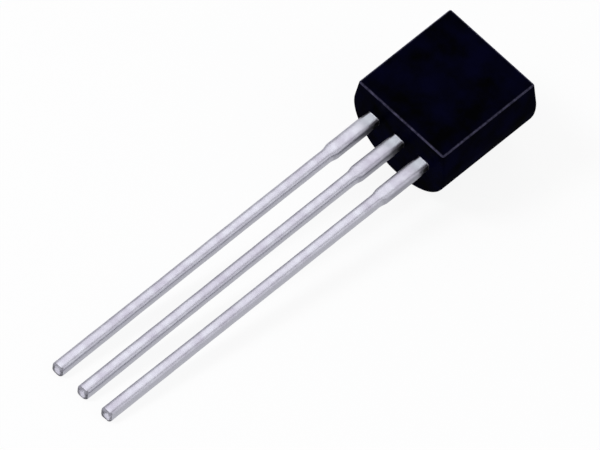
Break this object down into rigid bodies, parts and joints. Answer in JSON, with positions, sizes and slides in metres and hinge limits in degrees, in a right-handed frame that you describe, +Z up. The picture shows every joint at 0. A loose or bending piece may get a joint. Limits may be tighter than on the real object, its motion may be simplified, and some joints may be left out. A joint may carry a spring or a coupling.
{
  "type": "voltage regulator",
  "caption": "Low-power voltage regulator: a black D-section moulded body with a flat front and a row of straight tinned leads from one end.",
  "frame": {"origin": "on the surface the part lies on, under the middle of its length and the middle lead", "axes": "+X across the flat from the output lead to the input lead, +Y from the lead tips to the body, +Z up; the flat faces up, leaning 7.6 degrees towards the leads, as the loose part lies"},
  "size_m": [0.0046, 0.02, 0.0042],
  "materials": {
    "moulded_epoxy": "transfer-moulded, satin",
    "tinned_copper": "matte tin plate",
    "silicon": "polished wafer",
    "die_adhesive": "silver-filled epoxy, matte",
    "gold": "drawn wire"
  },
  "bodies": {
    "root": {"moulded_body": "moulded_epoxy", "output_lead": "tinned_copper", "ground_lead": "tinned_copper", "input_lead": "tinned_copper", "silicon_die": "silicon", "die_attach": "die_adhesive", "output_wire": "gold", "ground_wire": "gold", "input_wire": "gold"}
  },
  "joints": []
}
